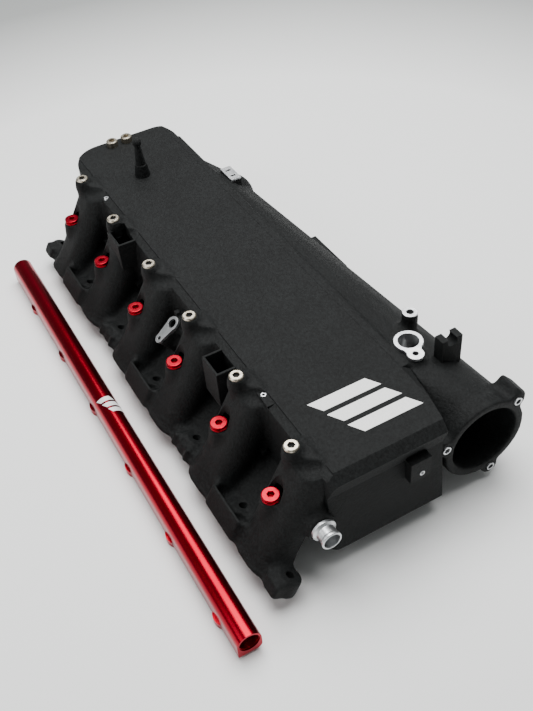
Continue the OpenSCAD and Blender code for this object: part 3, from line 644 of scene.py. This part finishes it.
def flange_blanks():
    """Stud lugs, the plate that holds them, and the webs, ribs and walls between ports."""
    parts = [flange_rod(x, LUG_V, 0, LUG_T, LUG_R) for x in STUD_X]
    parts += [flange_rod(x, LUG_V, 0, LUG_SKIRT_T, LUG_SKIRT_R) for x in STUD_X[1:6]]
    parts.append(flange_block((STUD_X[0], PLATE_V[0], 0), (STUD_X[6], PLATE_V[1], FOOT_T)))
    for x, side in ((STUD_X[0], -1), (STUD_X[6], 1)):
        parts.append(flange_block((x - END_LUG_HALF, END_LUG_V, 0),
            (x + END_LUG_HALF, LUG_V, LUG_T - LUG_DROP)))
        inner = x - side * END_ARM_LENGTH
        parts.append(flange_block((min(x, inner), END_ARM_V[0], 0),
            (max(x, inner), END_ARM_V[1], END_ARM_T)))
    for k in (0, 2, 4):
        x0 = port_x(k) + HALF_RUNNER - WEB_IN
        x1 = port_x(k + 1) - HALF_RUNNER + WEB_IN
        parts.append(flange_block((x0, 0, 0), (x1, WEB_T, WEB_TOP)))
        parts.append(flange_block((x0, 0, 0), (x1, LUG_V, FOOT_T)))
    for k in range(5):
        parts.append(flange_block((port_x(k) + HALF_RUNNER, PORT_V + RIB_V[0], 0),
            (port_x(k + 1) - HALF_RUNNER, PORT_V + RIB_V[1], LUG_T - LUG_DROP)))
        parts.append(valley_wall(k))
    for k in (1, 3):
        for side in (-1, 1):
            x = STUD_X[k + 1] + side * SIDE_RIB_X
            parts.append(flange_block((x - SIDE_RIB_HALF, END_LUG_V, 0),
                (x + SIDE_RIB_HALF, LUG_V, LUG_T - WEB_T)))
    return parts


def bank_blanks(width, height):
    """Every solid that the runner bank is grown together from."""
    blanks = []
    for k in CYLINDERS:
        blanks += cut_blanks(runner_blank(k, width, height))
        blanks += plug_boss(k)
        foot = INJECTOR + Vector((k * PITCH, 0, 0))
        blanks.append(rod(foot - Vector((0, 0, INJECTOR_BOSS_LENGTH)), foot,
            *INJECTOR_BOSS_R))
    blanks += flange_blanks()
    blanks.append(rod((HOSE_BOSS_X[0], *HOSE_AXIS), (HOSE_BOSS_X[1], *HOSE_AXIS),
        HOSE_BOSS_R))
    blanks.append(node_copy("adapter_boss"))
    blanks.append(block((SIDE_X[0], STRIP_EDGE.y + SKIN, SIDE_Z),
        (SIDE_X[1], SIDE_Y, STRIP_EDGE.z - SKIN)))
    return blanks


def bank_cutters():
    """Ports, stud holes and notches that open on the flange's face."""
    cutters = []
    for k in CYLINDERS:
        bar = settle(stadium_bar(*BORE, BORE_LENGTH), Matrix.Translation((0, 0, -CUT * MM)))
        cutters.append(settle(bar, port_matrix(k)))
        cutters.append(flange_rod(port_x(k), NOTCH_V, -CUT, FOOT_T, NOTCH_R))
    for x in STUD_X:
        cutters.append(flange_rod(x, LUG_V, -CUT, STUD_LENGTH, STUD_R))
    return cutters


def bank_top_cutters():
    """Injector bores with their scoops, the clamp pocket and the fittings' holes."""
    cutters = []
    for k in CYLINDERS:
        foot = INJECTOR + Vector((k * PITCH, 0, 0))
        up = Vector((0, 0, 1))
        cutters.append(rod(foot - INJECTOR_BORE_LENGTH * up, foot + CUT / 2 * up,
            INJECTOR_BORE_R))
        cutters.append(rod(foot, foot + SCOOP_LENGTH * up, *SCOOP_R))
    cutters.append(block(*REAR_POCKET))
    cutters.append(rod((HOSE_SOCKET_X[0], *HOSE_AXIS), (HOSE_SOCKET_X[1], *HOSE_AXIS),
        HOSE_SOCKET_R))
    out = Vector((0, -math.sin(ADAPTER_TILT), math.cos(ADAPTER_TILT)))
    cutters.append(rod(ADAPTER_TOP - ADAPTER_BORE_LENGTH * out, ADAPTER_TOP + CUT * out,
        ADAPTER_BORE_R))
    return cutters


class RunnerBank(bpy.types.Operator):
    """Six runners grown together with the head flange, bosses, webs and valley walls"""
    bl_idname = "manifold.runner_bank"
    bl_label = "Runner bank"

    def execute(self, context):
        sizes = context.scene.manifold_print
        bank = join(bank_blanks(sizes.runner_width / MM, sizes.runner_height / MM))
        grown_together(bank, sizes.voxel, sizes.fillet, SOFTEN, sizes.triangles)
        carve(bank, bank_cutters())
        carve(bank, bank_top_cutters())
        finish(bank, "runner_bank", MANIFOLD, "printed_nylon", FINISHES["nylon"],
            "adapter_boss", *BANK_NODES)
        return {"FINISHED"}


COVER_EDGE = 0.5


class PlenumBox(bpy.types.Operator):
    """The long plenum box and its flat top"""
    bl_idname = "manifold.plenum_box"
    bl_label = "Plenum"

    def execute(self, context):
        sizes = context.scene.manifold_print
        shell = eased_copy("plenum_shell", sizes.box_edge / MM, 3, 20)
        finish(shell, "plenum_body", MANIFOLD, "printed_nylon", FINISHES["nylon"],
            "plenum_shell", weighted=True)
        cover = eased_copy("plenum_cover", COVER_EDGE, 2, 25)
        finish(cover, "plenum_top", MANIFOLD, "printed_nylon", FINISHES["nylon"],
            "plenum_cover", weighted=True)
        return {"FINISHED"}


# Solid inside the plenum's edge, from which the duct's fillet rises.
DUCT_WALL = ((-35, 121, 45), (424, 133.85, 110.85))


class ThrottleDuct(bpy.types.Operator):
    """The throttle duct grown together with its flange, its bosses and a wall inside the plenum's
    edge
    """
    bl_idname = "manifold.throttle_duct"
    bl_label = "Throttle duct"

    def execute(self, context):
        sizes = context.scene.manifold_print
        nodes = ("throttle_duct", "throttle_flange", "sensor_boss", "cover_boss")
        wall = block(*DUCT_WALL)
        duct = join([node_copy(*nodes), wall])
        grown_together(duct, sizes.voxel, sizes.duct_fillet, SOFTEN, sizes.triangles)
        finish(duct, "throttle_duct_body", MANIFOLD, "printed_nylon", FINISHES["nylon"],
            *nodes)
        return {"FINISHED"}


SMALL_PRINT_EDGE = 0.7


class SmallPrints(bpy.types.Operator):
    """Clamp pockets, posts and tabs, which stand on the printed body"""
    bl_idname = "manifold.small_prints"
    bl_label = "Pockets and post"

    def execute(self, context):
        for name in ("rail_bracket_rear", "rail_bracket_front", "engine_cover_post",
                "clip_post", "plate_block", "duct_bracket"):
            piece = eased_copy(name, SMALL_PRINT_EDGE)
            finish(piece, name + "_print", MANIFOLD, "printed_nylon", FINISHES["nylon"], name,
                weighted=True)
        return {"FINISHED"}


# ---------- metal, rubber and paint ----------

# Bright sleeve in the sensor's hole: top of its axis, outer radius and length.
SENSOR_TOP = (401, 148.6, 109)
SLEEVE_R = 9.7
SLEEVE_LENGTH = 14


class MetalFittings(bpy.types.Operator):
    """Plugs, inserts, rings and plates of metal, with their edges broken"""
    bl_idname = "manifold.metal_fittings"
    bl_label = "Metal fittings"

    def execute(self, context):
        edge = context.scene.manifold_fittings.metal_edge / MM
        kinds = [(f"injector_plug_{k + 1}", "red_turning", "red_anodised", edge)
            for k in CYLINDERS]
        kinds += [("runner_pipe_plugs", "nickel", "plug_steel", edge),
            ("end_pipe_plugs", "nickel", "plug_steel", edge)]
        for name in ("throttle_inserts", "edge_inserts", "front_insert"):
            kinds.append((name, "aluminium", "machined_aluminium", edge / 2))
        for name in ("sensor_port_ring", "cover_boss_insert", "slotted_plate",
                "vacuum_adapter", "hose_fitting"):
            kinds.append((name, "aluminium", "machined_aluminium", edge))
        for name, look, slot, width in kinds:
            piece = eased_copy(name, width)
            finish(piece, name + "_turned", MANIFOLD, slot, FINISHES[look], name,
                weighted=True)
        finish(self.sensor_sleeve(edge), "sensor_sleeve", MANIFOLD, "machined_aluminium",
            FINISHES["aluminium"])
        return {"FINISHED"}

    def sensor_sleeve(self, edge):
        """A thin bright sleeve that lines the sensor's hole under the ring."""
        bpy.ops.object.select_all(action="DESELECT")
        bpy.ops.mesh.primitive_cylinder_add(vertices=64, radius=SLEEVE_R * MM,
            depth=SLEEVE_LENGTH * MM, end_fill_type="NOTHING",
            location=at(*SENSOR_TOP) - Vector((0, 0, SLEEVE_LENGTH / 2 * MM)))
        sleeve = settle(bpy.context.object)
        modify(sleeve, "SOLIDIFY", thickness=edge * MM, offset=-1)
        return sleeve


# The rail's two ends, the height and depth of its axis, its bore and the thread's turns.
RAIL_X = (-28.0, 529.0)
RAIL_AXIS = (-86.5, 16.2)
RAIL_BORE = 9.0
RAIL_TURNS = 9
RAIL_LEAD = 2.0
RAIL_EDGE = 1.4
RIDGE_SHARE = 0.32


class FuelRail(bpy.types.Operator):
    """The red rail, with threads in its two ends"""
    bl_idname = "manifold.fuel_rail"
    bl_label = "Fuel rail"

    def execute(self, context):
        edge = context.scene.manifold_fittings.metal_edge / MM
        rail = eased_copy("fuel_rail", edge * RAIL_EDGE, 3)
        finish(rail, "rail_extrusion", RAIL, "red_anodised", FINISHES["rail"], "fuel_rail",
            weighted=True)
        pitch = context.scene.manifold_fittings.thread_pitch / MM
        turns = [thread for end in RAIL_X for thread in self.threads(end, pitch)]
        finish(join(turns), "rail_threads", RAIL, "red_anodised", FINISHES["rail"])
        return {"FINISHED"}

    def threads(self, end, pitch):
        """Rounded ridges that stand in the bore of one end, one for each turn."""
        inward = 1 if end < 0 else -1
        turns = []
        for i in range(RAIL_TURNS):
            x = end + inward * (RAIL_LEAD + i * pitch)
            bpy.ops.object.select_all(action="DESELECT")
            bpy.ops.mesh.primitive_torus_add(major_segments=64, minor_segments=8,
                major_radius=RAIL_BORE * MM, minor_radius=pitch * RIDGE_SHARE * MM,
                location=at(x, *RAIL_AXIS), rotation=(0, math.pi / 2, 0))
            turns.append(settle(bpy.context.object))
        return turns


class SealsAndMarks(bpy.types.Operator):
    """Rubber seals and the two printed marks, which keep their CAD shapes"""
    bl_idname = "manifold.seals_and_marks"
    bl_label = "Seals and marks"

    def execute(self, context):
        looks = {"injector_plug_orings": "rubber", "hose_fitting_oring": "rubber",
            "plenum_emblem": "silver", "rail_emblem": "silver"}
        for k in CYLINDERS:
            looks[f"port_gasket_{k + 1}"] = "rubber"
        for name, look in looks.items():
            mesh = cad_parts[name].data
            mesh.materials.clear()
            mesh.materials.append(FINISHES[look])
        return {"FINISHED"}


# ---------- studio ----------

# Name, place before the turn to the camera, size in metres and share of the softbox's power.
LAMPS = (("softbox", (0.1, 0.35, 1.5), 1.5, 1.0), ("fill", (-1.4, -0.6, 1.0), 1.0, 0.2))
LAMP_TARGET = Vector((0, 0, 0.05))
AIR_COLOUR = "#e9ecec"
AIR_STRENGTH = 0.28
FLOOR_SIZE = 8

class Studio(bpy.types.Operator):
    """Pale floor, one large soft lamp, a weak fill and the camera"""
    bl_idname = "manifold.studio"
    bl_label = "Studio"

    def execute(self, context):
        settings = context.scene.manifold_studio
        a = settings.azimuth
        e = settings.elevation
        back = Vector((math.sin(a) * math.cos(e), -math.cos(a) * math.cos(e), math.sin(e)))
        self.add_camera(context, settings, back)
        self.add_floor()
        self.add_lamps(settings, a)
        return {"FINISHED"}

    def add_camera(self, context, settings, back):
        right = (-back).cross(Vector((0, 0, 1))).normalized()
        up = right.cross(-back)
        axes = Matrix((right, up, back)).transposed().to_4x4()
        place = Matrix.Translation(settings.camera_place)
        bpy.ops.object.camera_add()
        camera = context.object
        camera.name = "camera"
        camera.matrix_world = place @ axes @ Matrix.Rotation(settings.roll, 4, "Z")
        camera.data.lens = settings.lens
        camera.data.clip_start = 0.01
        context.scene.camera = camera

    def add_floor(self):
        """A wide flat board, so that the part is seen from every side."""
        bpy.ops.object.select_all(action="DESELECT")
        bpy.ops.mesh.primitive_plane_add(size=FLOOR_SIZE)
        floor = bpy.context.object
        floor.name = "studio_floor"
        floor.data.materials.append(FINISHES["board"])

    def add_lamps(self, settings, azimuth):
        turn = Matrix.Rotation(azimuth, 4, "Z")
        for name, place, size, share in LAMPS:
            spot = turn @ Vector(place)
            bpy.ops.object.light_add(type="AREA", location=spot,
                rotation=(spot - LAMP_TARGET).to_track_quat("Z", "Y").to_euler())
            lamp = bpy.context.object
            lamp.name = name
            lamp.data.energy = settings.softbox_power * share
            lamp.data.size = size
        world = bpy.data.worlds.new("studio air")
        world.use_nodes = True
        world.node_tree.nodes["Background"].inputs["Color"].default_value = linear(AIR_COLOUR)
        world.node_tree.nodes["Background"].inputs["Strength"].default_value = AIR_STRENGTH
        bpy.context.scene.world = world


# ---------- panel and registration ----------

OPERATORS = (RunnerBank, PlenumBox, ThrottleDuct, SmallPrints, MetalFittings, FuelRail,
    SealsAndMarks, Studio)


class ManifoldPanel(bpy.types.Panel):
    """Sizes of the manifold's looks and the buttons that make its pieces"""
    bl_idname = "VIEW3D_PT_manifold"
    bl_label = "Manifold"
    bl_space_type = "VIEW_3D"
    bl_region_type = "UI"
    bl_category = "Manifold"

    def draw(self, context):
        for group in ("manifold_print", "manifold_fittings", "manifold_studio"):
            settings = getattr(context.scene, group)
            box = self.layout.box()
            for name in settings.__annotations__:
                box.prop(settings, name)
        for operator in OPERATORS:
            self.layout.operator(operator.bl_idname)


GROUPS = {"manifold_print": PrintSizes, "manifold_fittings": FittingSizes,
    "manifold_studio": StudioSizes}


def register():
    for item in (*GROUPS.values(), *OPERATORS, ManifoldPanel):
        bpy.utils.register_class(item)
    for name, group in GROUPS.items():
        setattr(bpy.types.Scene, name, PointerProperty(type=group))


def unregister():
    for name in GROUPS:
        delattr(bpy.types.Scene, name)
    for item in reversed((*GROUPS.values(), *OPERATORS, ManifoldPanel)):
        bpy.utils.unregister_class(item)


def main():
    register()
    for operator in OPERATORS:
        group, name = operator.bl_idname.split(".")
        getattr(getattr(bpy.ops, group), name)()


if __name__ == "__main__":
    main()
